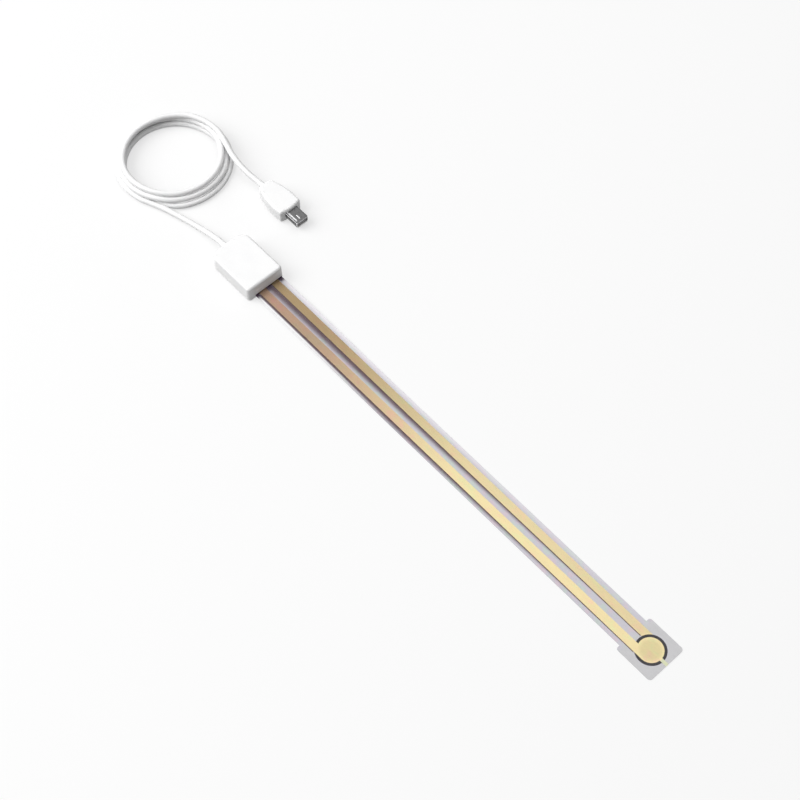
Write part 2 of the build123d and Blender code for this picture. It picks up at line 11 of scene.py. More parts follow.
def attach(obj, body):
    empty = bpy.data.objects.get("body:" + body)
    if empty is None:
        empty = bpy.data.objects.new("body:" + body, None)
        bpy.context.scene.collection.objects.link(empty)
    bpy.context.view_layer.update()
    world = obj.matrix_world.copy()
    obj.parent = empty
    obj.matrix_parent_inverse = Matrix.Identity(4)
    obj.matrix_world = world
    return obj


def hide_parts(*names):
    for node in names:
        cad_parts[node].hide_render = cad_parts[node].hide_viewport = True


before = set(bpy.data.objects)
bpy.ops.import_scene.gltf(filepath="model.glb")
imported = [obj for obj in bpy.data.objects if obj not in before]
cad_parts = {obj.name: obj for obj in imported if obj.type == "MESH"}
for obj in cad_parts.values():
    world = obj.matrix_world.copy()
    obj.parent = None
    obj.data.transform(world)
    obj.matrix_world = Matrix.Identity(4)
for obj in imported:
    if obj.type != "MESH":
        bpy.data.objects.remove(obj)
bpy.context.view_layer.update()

MM = 0.001
LOG = logging.getLogger("force_sensor")

Colour = tuple[float, float, float]
Point = tuple[float, float, float]
Span = tuple[float, float]

EVEN: Point = (1.0, 1.0, 1.0)


class Grain(Enum):
    """Surface textures that moulds, dies and print screens leave."""

    SPARKED = "sparked"
    EXTRUDED = "extruded"
    SCREENED = "screened"
    ROLLED = "rolled"


class Field:
    """One output of a shader tree, with arithmetic that adds Math nodes."""

    def __init__(self, tree: "Tree", socket: bpy.types.NodeSocket) -> None:
        """Keep the socket and its tree.

        Args:
            tree: The tree that the socket belongs to.
            socket: The output socket.
        """
        self.tree = tree
        self.socket = socket

    def _math(self, operation: str, first: "Value", second: "Value") -> "Field":
        """Add one Math node.

        Args:
            operation: The Math node's operation.
            first: Its first value.
            second: Its second value.

        Returns:
            The node's result.
        """
        return self.tree.add("ShaderNodeMath", {"operation": operation}, {0: first, 1: second})

    def __add__(self, other: "Value") -> "Field":
        """Sum."""
        return self._math("ADD", self, other)

    def __radd__(self, other: "Value") -> "Field":
        """Sum, from the right."""
        return self._math("ADD", other, self)

    def __sub__(self, other: "Value") -> "Field":
        """Difference."""
        return self._math("SUBTRACT", self, other)

    def __rsub__(self, other: "Value") -> "Field":
        """Difference, from the right."""
        return self._math("SUBTRACT", other, self)

    def __mul__(self, other: "Value") -> "Field":
        """Product."""
        return self._math("MULTIPLY", self, other)

    def __rmul__(self, other: "Value") -> "Field":
        """Product, from the right."""
        return self._math("MULTIPLY", other, self)

    def __truediv__(self, other: "Value") -> "Field":
        """Quotient."""
        return self._math("DIVIDE", self, other)

    def __rtruediv__(self, other: "Value") -> "Field":
        """Quotient, from the right."""
        return self._math("DIVIDE", other, self)

    def __abs__(self) -> "Field":
        """Size without sign."""
        return self._math("ABSOLUTE", self, 0.0)

    def least(self, other: "Value") -> "Field":
        """The smaller of this and another value."""
        return self._math("MINIMUM", self, other)

    def most(self, other: "Value") -> "Field":
        """The larger of this and another value."""
        return self._math("MAXIMUM", self, other)

    def swing(self, depth: float) -> "Field":
        """A field from 0 to 1 moved to lie about 0, with the given depth from end to end."""
        return (self - 0.5) * depth

    def blend(self, other: "Field", share: float) -> "Field":
        """This field and another one, weighed.

        Args:
            other: The other field.
            share: This one's share, from 0 to 1.

        Returns:
            The blend.
        """
        return self * share + other * (1.0 - share)

    def rise(self, low: float, high: float) -> "Field":
        """A soft step.

        Args:
            low: The value at which the step leaves 0.
            high: The value at which it reaches 1.

        Returns:
            A field from 0 to 1. Where low is above high, it falls.
        """
        falls = low > high
        return self.tree.add(
            "ShaderNodeMapRange",
            {"interpolation_type": "SMOOTHSTEP", "clamp": True},
            {0: self, 1: min(low, high), 2: max(low, high), 3: float(falls), 4: float(not falls)},
        )

    def under(self, limit: float, soft: float) -> "Field":
        """1 under a limit and 0 over it.

        Args:
            limit: The middle of the step between them.
            soft: Half the width of that step.

        Returns:
            The mask.
        """
        return self.rise(limit + soft, limit - soft)


Value = Union[Field, float, Colour]
Settings = dict[str, Any]
Inputs = dict[Union[int, str], Value]


class Tree:
    """Adds nodes to a node tree."""

    # A Mix node's colour sockets by number, because its sockets for numbers have the same names.
    MIX_FIRST = 6
    MIX_SECOND = 7
    MIX_RESULT = 2

    def __init__(self, tree: bpy.types.NodeTree) -> None:
        """Start with an empty tree.

        Args:
            tree: The tree, which is cleared.
        """
        self.tree = tree
        self.tree.nodes.clear()

    def node(
        self, kind: str, settings: Optional[Settings] = None, inputs: Optional[Inputs] = None
    ) -> bpy.types.Node:
        """Make one node of any type.

        Args:
            kind: The node's type.
            settings: Its own settings, which are set first.
            inputs: Its sockets, each with a number, a colour or a field.

        Returns:
            The node.
        """
        node = self.tree.nodes.new(kind)
        for name, value in (settings or {}).items():
            setattr(node, name, value)
        for name, value in (inputs or {}).items():
            self.feed(node.inputs[name], value)
        return node

    def add(
        self,
        kind: str,
        settings: Optional[Settings] = None,
        inputs: Optional[Inputs] = None,
        output: Union[int, str] = 0,
    ) -> Field:
        """Make one node of any type and take one of its outputs.

        Args:
            kind: The node's type.
            settings: Its own settings.
            inputs: Its sockets, each with a number, a colour or a field.
            output: The output that is wanted.

        Returns:
            That output.
        """
        return Field(self, self.node(kind, settings, inputs).outputs[output])

    def feed(self, socket: bpy.types.NodeSocket, value: Value) -> None:
        """Link a field to a socket, or set the socket.

        Args:
            socket: The input socket.
            value: The field, number or colour.
        """
        if isinstance(value, Field):
            self.tree.links.new(value.socket, socket)
        elif isinstance(value, tuple) and socket.type == "RGBA":
            socket.default_value = (*value, 1.0)
        else:
            socket.default_value = value

    def mix(self, share: Value, first: Value, second: Value, blend: str = "MIX") -> Field:
        """Mix two colours.

        Args:
            share: How much of the second is taken.
            first: The first colour.
            second: The second colour.
            blend: The Mix node's blend type.

        Returns:
            The mixed colour.
        """
        return self.add(
            "ShaderNodeMix",
            {"data_type": "RGBA", "blend_type": blend},
            {0: share, self.MIX_FIRST: first, self.MIX_SECOND: second},
            self.MIX_RESULT,
        )

    def seen(self) -> Field:
        """Mask of the rays from the camera, off gloss or through clear material.

        Returns:
            1 for those rays, else 0.
        """
        camera, gloss, through = (
            self.add("ShaderNodeLightPath", output=kind)
            for kind in ("Is Camera Ray", "Is Glossy Ray", "Is Transmission Ray")
        )
        return camera.most(gloss).most(through)


class Painter(Tree):
    """Builds one material's node tree around a Principled shader."""

    THREADS_PER_SIZE = 0.35
    THREAD_WAVER = 1.5
    PIT_SPREAD = 1.7

    def __init__(self, name: str) -> None:
        """Start a material.

        Args:
            name: The material's name.
        """
        self.material = bpy.data.materials.new(name)
        self.material.use_nodes = True
        super().__init__(self.material.node_tree)
        self.shader = self.add("ShaderNodeBsdfPrincipled")
        self.output = self.node("ShaderNodeOutputMaterial", inputs={"Surface": self.shader})
        self._place: Optional[Field] = None
        self._axes: Optional[tuple[Field, ...]] = None

    def surface(self, **inputs: Value) -> None:
        """Feed the Principled shader.

        Args:
            inputs: The sockets by name, with underscores for spaces, and what each one gets.
        """
        sockets = self.shader.socket.node.inputs
        for name, value in inputs.items():
            self.feed(sockets[name.replace("_", " ")], value)

    def place(self) -> Field:
        """The place on the object, made once.

        Returns:
            The place in metres, in the CAD's own frame.
        """
        if self._place is None:
            self._place = self.add("ShaderNodeTexCoord", output="Object")
        return self._place

    def axes(self) -> tuple[Field, ...]:
        """The place's three parts, made once.

        Returns:
            x, y and z in metres.
        """
        if self._axes is None:
            parts = self.node("ShaderNodeSeparateXYZ", inputs={0: self.place()})
            self._axes = tuple(Field(self, socket) for socket in parts.outputs)
        return self._axes

    def facing(self) -> Field:
        """How far the surface faces up, from -1 to 1."""
        normal = self.add("ShaderNodeTexCoord", output="Normal")
        return self.add("ShaderNodeSeparateXYZ", inputs={0: normal}, output="Z")

    def stretched(self, scale: Point) -> Field:
        """The place with each axis scaled.

        Args:
            scale: The factor along each axis.

        Returns:
            The scaled place.
        """
        return self.add("ShaderNodeMapping", inputs={"Vector": self.place(), "Scale": scale})

    def noise(
        self, size: float, detail: float = 2.0, rough: float = 0.5, along: Point = EVEN
    ) -> Field:
        """Soft noise from 0 to 1.

        Args:
            size: The size of its blotches in metres.
            detail: How many finer layers it has.
            rough: How strong those layers are.
            along: The factor on each axis, below 1 where the noise is drawn out.

        Returns:
            The noise.
        """
        place = self.place() if along == EVEN else self.stretched(along)
        inputs = {"Vector": place, "Scale": 1.0 / size, "Detail": detail, "Roughness": rough}
        return self.add("ShaderNodeTexNoise", inputs=inputs)

    def cells(self, size: float) -> Field:
        """Distance to the nearest of many scattered points, in cells of a size in metres."""
        inputs = {"Vector": self.place(), "Scale": 1.0 / size}
        return self.add("ShaderNodeTexVoronoi", inputs=inputs)

    def threads(self, size: float) -> Field:
        """The mesh of a print screen, as wavering diagonal bands.

        Args:
            size: The size of the print's blotches in metres, which its pitch follows.

        Returns:
            The bands, from 0 to 1.
        """
        return self.add(
            "ShaderNodeTexWave",
            {"wave_type": "BANDS", "bands_direction": "DIAGONAL"},
            {
                "Vector": self.stretched((1.0, 1.0, 0.0)),
                "Scale": self.THREADS_PER_SIZE / size,
                "Distortion": self.THREAD_WAVER,
            },
            1,
        )

    def bump(self, height: Field, depth: float) -> Field:
        """A Bump node's normal.

        Args:
            height: The height, from 0 to 1.
            depth: What a height of 1 is in metres.

        Returns:
            The normal.
        """
        inputs = {"Height": height, "Strength": 1.0, "Distance": depth}
        return self.add("ShaderNodeBump", inputs=inputs)

    def grain(self, grain: Grain, size: float, depth: float) -> Field:
        """The normal of one of the textures that making the piece leaves.

        Args:
            grain: Which texture.
            size: Its size in metres.
            depth: Its depth in metres.

        Returns:
            The normal.
        """
        if grain is Grain.EXTRUDED:
            height = self.noise(size, detail=3.0, rough=0.6)
        elif grain is Grain.ROLLED:
            height = self.noise(size, detail=3.0, rough=0.7, along=(0.06, 1.0, 1.0))
        elif grain is Grain.SCREENED:
            height = self.threads(size).blend(self.noise(size), share=0.5)
        else:
            pits = self.cells(size * self.PIT_SPREAD)
            height = self.noise(size, detail=4.0, rough=0.65).blend(pits, share=0.7)
        return self.bump(height, depth)


@dataclass(frozen=True)
class Finish:
    """A finish with a name. Each kind says how it is painted."""

    name: str

    def paint(self, painter: Painter) -> None:
        """Feed the shader.

        Args:
            painter: The material's painter.
        """
        raise NotImplementedError

    def material(self) -> bpy.types.Material:
        """The finish's material, made once.

        Returns:
            The material.
        """
        made = bpy.data.materials.get(self.name)
        if made is None:
            painter = Painter(self.name)
            self.paint(painter)
            made = painter.material
        return made


@dataclass(frozen=True)
class Plastic(Finish):
    """Moulded or extruded plastic with a fine texture and faint cloudiness."""

    colour: Colour = (0.92, 0.92, 0.92)
    shade: Colour = (0.89, 0.89, 0.895)
    roughness: float = 0.4
    grain: Grain = Grain.SPARKED
    grain_size: float = 0.12 * MM
    grain_depth: float = 0.004 * MM
    cloud_size: float = 5.0 * MM
    speck_size: float = 0.6 * MM
    cloud_share: float = 0.6
    shaded: Span = (0.35, 0.75)
    cloud_gloss: float = 0.12
    speck_gloss: float = 0.08
    index: float = 1.49

    def paint(self, painter: Painter) -> None:
        """Cloudy colour, uneven gloss and the mould's texture.

        Args:
            painter: The material's painter.
        """
        cloud = painter.noise(self.cloud_size, detail=3.0)
        speck = painter.noise(self.speck_size)
        unevenness = cloud.swing(self.cloud_gloss) + speck.swing(self.speck_gloss)
        shading = cloud.blend(speck, self.cloud_share).rise(*self.shaded)
        painter.surface(
            Base_Color=painter.mix(shading, self.colour, self.shade),
            Roughness=self.roughness + unevenness,
            Normal=painter.grain(self.grain, self.grain_size, self.grain_depth),
            IOR=self.index,
        )


@dataclass(frozen=True)
class Metal(Finish):
    """Rolled or plated sheet with drawn-out scratches and dull patches."""

    colour: Colour = (0.56, 0.56, 0.57)
    tarnish: Colour = (0.32, 0.31, 0.31)
    roughness: float = 0.3
    grain: Grain = Grain.ROLLED
    grain_size: float = 0.08 * MM
    grain_depth: float = 0.002 * MM
    patch_size: float = 1.2 * MM
    patched: Span = (0.45, 0.75)
    patch_tarnish: float = 0.6
    patch_gloss: float = 0.15
    streak_size: float = 0.16 * MM
    streak_tarnish: float = 0.3
    streak_gloss: float = 0.2

    def tone(self, painter: Painter) -> tuple[Field, Field]:
        """The colour and the roughness, duller and darker in patches.

        Args:
            painter: The material's painter.

        Returns:
            The colour and the roughness.
        """
        patch = painter.noise(self.patch_size, detail=4.0, rough=0.6).rise(*self.patched)
        streak = painter.noise(self.streak_size, along=(0.05, 1.0, 1.0))
        dirt = patch * self.patch_tarnish + streak.swing(self.streak_tarnish)
        colour = painter.mix(dirt, self.colour, self.tarnish)
        roughness = self.roughness + patch * self.patch_gloss + streak.swing(self.streak_gloss)
        return colour, roughness

    def paint(self, painter: Painter) -> None:
        """Bare metal with the grain that its making leaves.

        Args:
            painter: The material's painter.
        """
        colour, roughness = self.tone(painter)
        painter.surface(
            Base_Color=colour,
            Roughness=roughness,
            Normal=painter.grain(self.grain, self.grain_size, self.grain_depth),
            Metallic=1.0,
        )


@dataclass(frozen=True)
class PlugPlating(Metal):
    """Dark plated sheet, rougher and with painted shade on its rounded edges, a painted highlight
    in its groove and painted light inside. Metres.
    """

    # Colours of the painted highlight in the groove, the painted light inside and the painted
    # shade on the rounded edges.
    groove_highlight: Colour = (0.62, 0.62, 0.63)
    painted_inside_light: Colour = (0.85, 0.85, 0.86)
    edge: Colour = (0.06, 0.06, 0.061)
    middle: tuple[float, float] = (23.75 * MM, 2.65 * MM)
    groove_side: float = -1.76 * MM
    groove_half: float = 0.25 * MM
    groove_soft: float = 0.04 * MM
    groove_tip: float = -178.85 * MM
    tip_soft: float = 0.05 * MM
    groove_roughness: float = 0.36
    top_skin: Span = (0.9 * MM, 1.0 * MM)
    inner_top: float = 2.4 * MM
    inner_bottom: float = 2.15 * MM
    inner_high: float = 1.15 * MM
    inner_soft: float = 0.03 * MM
    rounded_side: Span = (2.0 * MM, 2.2 * MM)
    rounded_high: Span = (0.5 * MM, 0.8 * MM)
    rounded_dulling: float = 0.2

    def _inside(self, side: Field, high: Field) -> Field:
        """Mask of the shell's inside, which is narrower at the bottom.

        Args:
            side: Distance to the side of the shell's middle.
            high: Height over its middle.

        Returns:
            The mask.
        """
        soft = self.inner_soft
        widening = (high * (1.0 / self.inner_high) + 1.0).most(0.0).least(1.0)
        half = widening * (self.inner_top - self.inner_bottom) + self.inner_bottom
        return (abs(side) - half).under(0.0, soft) * abs(high).under(self.inner_high, soft)

    def tone(self, painter: Painter) -> tuple[Field, Field]:
        """The plating's own tone, with a painted highlight in the groove, painted shade on the
        rounded edges and painted light inside.

        Args:
            painter: The material's painter.

        Returns:
            The colour and the roughness.
        """
        colour, roughness = super().tone(painter)
        x, y, z = painter.axes()
        side, high = y - self.middle[0], z - self.middle[1]
        groove = abs(side - self.groove_side).under(self.groove_half, self.groove_soft)
        groove = groove * high.rise(*self.top_skin) * x.under(self.groove_tip, self.tip_soft)
        rounded = abs(side).rise(*self.rounded_side) * high.rise(*self.rounded_high)
        # Painted shade: the rounded edges are darkened to hold back their highlight. They are also
        # made rougher below.
        colour = painter.mix(rounded, colour, self.edge)
        # Painted light: the shell's inside is paler than its outside, against the shade in its
        # mouth.
        colour = painter.mix(self._inside(side, high), colour, self.painted_inside_light)
        roughness = roughness + rounded * self.rounded_dulling
        roughness = roughness + (self.groove_roughness - roughness) * groove
        # Painted highlight: a bright stripe along the groove.
        return painter.mix(groove, colour, self.groove_highlight), roughness


@dataclass(frozen=True)
class StripLayout:
    """Where the printed pattern lies on the strip, in metres."""

    trace_middle: float = 2.54 * MM
    trace_width: float = 2.7 * MM
    half_width: float = 5.5 * MM
    # Width of the painted shadow lines beside the traces.
    edge_line: float = 0.28 * MM
    sensing_radius: float = 4.765 * MM
    electrode_radius: float = 3.9 * MM
    window_radius: float = 5.01 * MM
    tail_start: float = -167.1 * MM
    bend_length: float = 84.0 * MM
    lift: float = 0.8 * MM
    film: float = 0.076 * MM
    print_edge: float = 0.01 * MM
    layer_edge: float = 0.005 * MM

    @property
    def half_trace(self) -> float:
        """Half a trace's width."""
        return self.trace_width / 2

    def along(self, painter: Painter) -> Field:
        """How far along the tail, from 0 at the housing to 1 at the sensing area."""
        return (painter.axes()[0] - self.tail_start) * (-1.0 / self.tail_start)

    def below_edge(self, painter: Painter) -> Field:
        """Distance in metres from the -Y edge of the trace next above in Y.

        Args:
            painter: The material's painter.

        Returns:
            The distance, larger to -Y.
        """
        _, y, _ = painter.axes()
        below_upper = (self.trace_middle - self.half_trace) - y
        below_lower = (-self.trace_middle - self.half_trace) - y
        past_lower = below_lower.rise(-self.print_edge, 0.0)
        return below_upper + past_lower * (below_lower - below_upper)

    def above(self, painter: Painter, level: float) -> Field:
        """Mask of what is further than a level from the strip's underside.

        Args:
            painter: The material's painter.
            level: The level in metres, which follows the bend up to the housing.

        Returns:
            The mask.
        """
        x, _, z = painter.axes()
        rest = ((x - self.tail_start) * (1.0 / self.bend_length)).most(0.0).least(1.0)
        left = 1.0 - rest
        floor = left * left * left * (1.0 + 3.0 * rest) * self.lift
        return (z - floor).rise(level - self.layer_edge, level + self.layer_edge)

    def inside(self, painter: Painter, radius: float, core: Optional[float] = None) -> Field:
        """Mask of a disc in the middle of the sensing area.

        Args:
            painter: The material's painter.
            radius: The disc's radius in metres.
            core: The radius where a soft edge ends. The edge is sharp without it.

        Returns:
            The mask.
        """
        x, y, _ = painter.axes()
        return (x * x + y * y).rise(radius ** 2, (core or radius - self.print_edge) ** 2)


@dataclass(frozen=True)
class PrintedConductor(Finish):
    """Pale gold screened ink whose hue drifts, with painted shade making it darker and browner to
    the housing, and a paler stub.
    """

    colour: Colour = (0.69, 0.58, 0.32)
    warm: Colour = (0.73, 0.53, 0.34)
    green: Colour = (0.64, 0.60, 0.32)
    # Painted shade: the tint that darkens the ink towards the housing.
    housing_shade_tint: Colour = (0.55, 0.43, 0.52)
    fleck: Colour = (0.62, 0.5, 0.3)
    stub: Colour = (0.62, 0.64, 0.43)
    pressed: Colour = (0.84, 0.86, 0.84)
    metallic: float = 0.55
    stub_metallic: float = 0.2
    roughness: float = 0.5
    grain_size: float = 0.1 * MM
    grain_depth: float = 0.002 * MM
    slow_size: float = 5.0 * MM
    quick_size: float = 1.5 * MM
    slow_share: float = 0.6
    drift_gloss: float = 0.1
    fleck_size: float = 0.25 * MM
    fleck_share: float = 0.06
    fleck_swing: float = 0.25
    fleck_gloss: float = 0.16
    warmed: Span = (0.53, 0.66)
    greened: Span = (0.47, 0.36)
    # Where the painted shade towards the housing starts and ends along the tail.
    housing_shaded: Span = (0.6, 0.1)
    pressed_core: float = 0.6
    stub_edge: float = 0.3 * MM
    layout: StripLayout = StripLayout()

    def _hue(self, painter: Painter, drift: Field, fleck: Field) -> Field:
        """The ink's colour, with painted shade darker and browner to the housing, and paler under
        the pressed disc.

        Args:
            painter: The material's painter.
            drift: The slow change of hue.
            fleck: The ink's fine flecks.

        Returns:
            The colour.
        """
        radius = self.layout.electrode_radius
        hue = painter.mix(drift.rise(*self.warmed), self.colour, self.warm)
        hue = painter.mix(drift.rise(*self.greened), hue, self.green)
        hue = painter.mix(fleck.swing(self.fleck_swing) + self.fleck_share, hue, self.fleck)
        for mask, tint in (
            # Painted shade, darker and browner towards the housing.
            (self.layout.along(painter).rise(*self.housing_shaded), self.housing_shade_tint),
            (self.layout.inside(painter, radius, radius * self.pressed_core), self.pressed),
        ):
            hue = painter.mix(mask, hue, painter.mix(1.0, hue, tint, "MULTIPLY"))
        return hue

    def paint(self, painter: Painter) -> None:
        """Hue drift, print grain and the stub's thinner ink.

        Args:
            painter: The material's painter.
        """
        slow = painter.noise(self.slow_size, along=(0.55, 1.0, 1.0))
        quick = painter.noise(self.quick_size, detail=1.0, along=(0.6, 1.0, 1.0))
        drift = slow.blend(quick, self.slow_share)
        fleck = painter.noise(self.fleck_size, detail=3.0, rough=0.6)
        gloss = fleck.swing(self.fleck_gloss) + drift.swing(self.drift_gloss)
        stub_start = self.layout.electrode_radius
        on_stub = painter.axes()[0].rise(stub_start, stub_start + self.stub_edge)
        painter.surface(
            Base_Color=painter.mix(on_stub, self._hue(painter, drift, fleck), self.stub),
            Metallic=self.metallic - on_stub * (self.metallic - self.stub_metallic),
            Roughness=self.roughness + gloss,
            Normal=painter.grain(Grain.SCREENED, self.grain_size, self.grain_depth),
        )


@dataclass(frozen=True)
class SensingInk(Finish):
    """Matt black pressure-sensitive print."""

    colour: Colour = (0.018, 0.016, 0.019)
    worn: Colour = (0.045, 0.042, 0.045)
    roughness: float = 0.62
    grain_size: float = 0.12 * MM
    grain_depth: float = 0.003 * MM
    dust_size: float = 0.3 * MM
    dust_gloss: float = 0.3
    dusty: Span = (0.5, 0.8)

    def paint(self, painter: Painter) -> None:
        """Dense black with a dusty grain.

        Args:
            painter: The material's painter.
        """
        dust = painter.noise(self.dust_size, detail=4.0, rough=0.7)
        painter.surface(
            Base_Color=painter.mix(dust.rise(*self.dusty), self.colour, self.worn),
            Roughness=self.roughness + dust.swing(self.dust_gloss),
            Normal=painter.grain(Grain.SCREENED, self.grain_size, self.grain_depth),
        )


@dataclass(frozen=True)
class StripSheet(Finish):
    """What the films and the glue between them share: scuffs along the strip and soft waves."""

    roughness: float = 0.3
    index: float = 1.1
    scuff_size: float = 0.9 * MM
    scuff_gloss: float = 0.18
    wave_size: float = 2.5 * MM
    wave_depth: float = 0.01 * MM
    layout: StripLayout = StripLayout()

    def scuffs(self, painter: Painter) -> Field:
        """Fine scuffs, drawn out along the strip."""
        return painter.noise(self.scuff_size, detail=4.0, rough=0.7, along=(0.12, 1.0, 1.0))

    def sheet(self, painter: Painter, scuff: Field, colour: Value, haze: Field) -> None:
        """Feed the shader.

        Args:
            painter: The material's painter.
            scuff: The scuffs.
            colour: The sheet's colour.
            haze: How much of the light it stops, from 0 to 1.
        """
        painter.surface(
            Base_Color=colour,
            Roughness=self.roughness + scuff.swing(self.scuff_gloss),
            Alpha=haze,
            Normal=painter.bump(painter.noise(self.wave_size), self.wave_depth),
            IOR=self.index,
        )


@dataclass(frozen=True)
class ClearFilm(StripSheet):
    """Clear polyester film, glossy and faintly scuffed, with grey cut edges."""

    tint: Colour = (0.59, 0.565, 0.64)
    roughness: float = 0.16
    index: float = 1.6
    haze: float = 0.02
    edge_haze: float = 0.22
    window_haze: float = 0.0
    scuffed: Span = (0.35, 0.8)
    upright: Span = (0.6, 0.4)

    def paint(self, painter: Painter) -> None:
        """Almost clear faces and hazy edges. The lower film also shows in the round window.

        Args:
            painter: The material's painter.
        """
        side = abs(painter.facing()).rise(*self.upright)
        scuff = self.scuffs(painter)
        haze = (scuff.rise(*self.scuffed) * self.haze).most(side * self.edge_haze)
        if self.window_haze > 0.0:
            upper_face = self.layout.above(painter, self.layout.film / 2)
            window = self.layout.inside(painter, self.layout.window_radius)
            haze = haze.most(window * upper_face * self.window_haze)
        self.sheet(painter, scuff, self.tint, haze)


@dataclass(frozen=True)
class HazyAdhesive(StripSheet):
    """Milky glue with a faint painted pink and green sheen, painted shadow beside the traces as
    dark lines and soft shade, painted shadow at the housing's slot and a painted lighter +Y
    margin. Metres.
    """

    tint: Colour = (0.61, 0.585, 0.66)
    # Colours of the painted pink and green sheen.
    pink: Colour = (0.68, 0.56, 0.64)
    green: Colour = (0.58, 0.65, 0.62)
    head: Colour = (0.61, 0.605, 0.62)
    # Painted light: the paler colour of the +Y margin near the housing.
    pale: Colour = (0.86, 0.82, 0.87)
    white: Colour = (0.96, 0.95, 0.96)
    # Painted shadow colours: the soft shade beside the traces, the dark lines at their -Y edges
    # and the patch at the housing's slot.
    shade: Colour = (0.115, 0.07, 0.085)
    shadow_line: Colour = (0.10, 0.06, 0.055)
    slot_shadow: Colour = (0.085, 0.05, 0.09)
    haze: float = 0.75
    haze_swing: float = 0.06
    shade_haze: float = 0.94
    top_face: float = 0.1 * MM
    drift_size: float = 2.0 * MM
    pinked: Span = (0.54, 0.66)
    greened: Span = (0.48, 0.36)
    head_from: Span = (-7.0 * MM, -5.0 * MM)
    disc_fade: float = 0.3 * MM
    trace_end: Span = (1.0 * MM, 0.0)
    side_fade: float = 0.1 * MM
    pale_inset: Span = (0.2 * MM, 0.3 * MM)
    white_along: Span = (0.42, 0.12)
    white_below: Span = (0.55 * MM, 1.05 * MM)
    shade_start: float = 0.7 * MM
    shade_start_drop: float = 1.2 * MM
    shade_reach: float = 3.0 * MM
    shade_reach_drop: float = 2.3 * MM
    line_edge: float = 0.05 * MM
    slot_shade: Span = (2.2 * MM, 0.6 * MM)

    def _sheen(self, painter: Painter) -> Field:
        """The glue's colour, with drifts of painted pink and green sheen and a greyer head.

        Args:
            painter: The material's painter.

        Returns:
            The colour.
        """
        drift = painter.noise(self.drift_size, detail=1.0, along=(0.6, 1.0, 1.0))
        # Painted sheen: drifts of pink and green interference tints.
        colour = painter.mix(drift.rise(*self.pinked), self.tint, self.pink)
        colour = painter.mix(drift.rise(*self.greened), colour, self.green)
        return painter.mix(painter.axes()[0].rise(*self.head_from), colour, self.head)

    def _before_disc(self, painter: Painter) -> Field:
        """Mask of the tail, up to the sensing area.

        Args:
            painter: The material's painter.

        Returns:
            The mask.
        """
        disc = -self.layout.sensing_radius
        return painter.axes()[0].rise(disc, disc - self.disc_fade)

    def _far_margin(self, painter: Painter) -> Field:
        """Mask of the tail's +Y margin, where painted light makes it paler, fading out to the
        sensing area.

        Args:
            painter: The material's painter.

        Returns:
            The mask.
        """
        layout = self.layout
        along = layout.along(painter)
        trace_edge = layout.trace_middle + layout.half_trace - self.pale_inset[0]
        margin = painter.axes()[1].rise(trace_edge, layout.half_width - self.pale_inset[1])
        return margin * (1.0 - along * along).most(0.0) * self._before_disc(painter)

    def _near_margin(self, painter: Painter) -> Field:
        """Mask of the -Y margin by the housing, where the film looks white.

        Args:
            painter: The material's painter.

        Returns:
            The mask.
        """
        trace = -self.layout.trace_middle
        margin = painter.axes()[1].rise(trace, trace - self.side_fade)
        by_housing = self.layout.along(painter).rise(*self.white_along)
        return margin * by_housing * self.layout.below_edge(painter).rise(*self.white_below)

    def _beside_traces(self, painter: Painter) -> Field:
        """Mask of where the traces' shade may lie, no further along than each trace goes.

        Args:
            painter: The material's painter.

        Returns:
            The mask.
        """
        x, y, _ = painter.axes()
        trace = self.layout.trace_middle
        upper = y.rise(0.0, self.side_fade)
        ends = upper * self._before_disc(painter) + (1.0 - upper) * x.rise(*self.trace_end)
        return y.rise(trace, trace - self.layout.print_edge) * ends

    def _shade(self, painter: Painter) -> Field:
        """The soft shade beside the traces, narrower away from the housing.

        Args:
            painter: The material's painter.

        Returns:
            The shade, from 0 to 1.
        """
        along = self.layout.along(painter)
        start = self.shade_start - along * self.shade_start_drop
        reach = self.shade_reach - along * self.shade_reach_drop
        return ((self.layout.below_edge(painter) - start) / reach).rise(1.0, 0.0)

    def _lower_trace(self, painter: Painter) -> Field:
        """Mask of the lower trace, which the glue leaves bare.

        Args:
            painter: The material's painter.

        Returns:
            The mask.
        """
        x, y, _ = painter.axes()
        layout = self.layout
        low, high = (layout.trace_middle + side * layout.half_trace for side in (-1, 1))
        soft = layout.print_edge
        on_trace = y.rise(low - soft, low + soft) * y.under(high, soft)
        return on_trace * x.rise(0.0, -self.side_fade)

    def paint(self, painter: Painter) -> None:
        """Haze and shade on the top face alone, and none over the lower trace.

        Args:
            painter: The material's painter.
        """
        layout = self.layout
        slot, slot_end = (layout.tail_start + distance for distance in self.slot_shade)
        there = self._beside_traces(painter)
        whitened = self._near_margin(painter)
        shade = self._shade(painter) * there * (1.0 - whitened)
        # Painted shadow where the strip goes into the housing's slot.
        at_slot = painter.axes()[0].rise(slot, slot_end)
        # Painted shadow: dark lines along the -Y edge of each trace.
        shadow_line = layout.below_edge(painter).under(layout.edge_line, self.line_edge) * there

        # Painted light: the +Y margin is paler near the housing, fading along the tail.
        colour = painter.mix(self._far_margin(painter), self._sheen(painter), self.pale)
        for mask, tint in (
            (whitened, self.white),
            (shade, self.shade),
            (at_slot, self.slot_shadow),
            (shadow_line, self.shadow_line),
        ):
            colour = painter.mix(mask, colour, tint)

        scuff = self.scuffs(painter)
        haze = self.haze + scuff.swing(self.haze_swing)
        haze = haze + (self.shade_haze - haze) * shade.most(shadow_line).most(at_slot)
        haze = haze * layout.above(painter, self.top_face) * (1.0 - self._lower_trace(painter))
        self.sheet(painter, scuff, colour, haze)


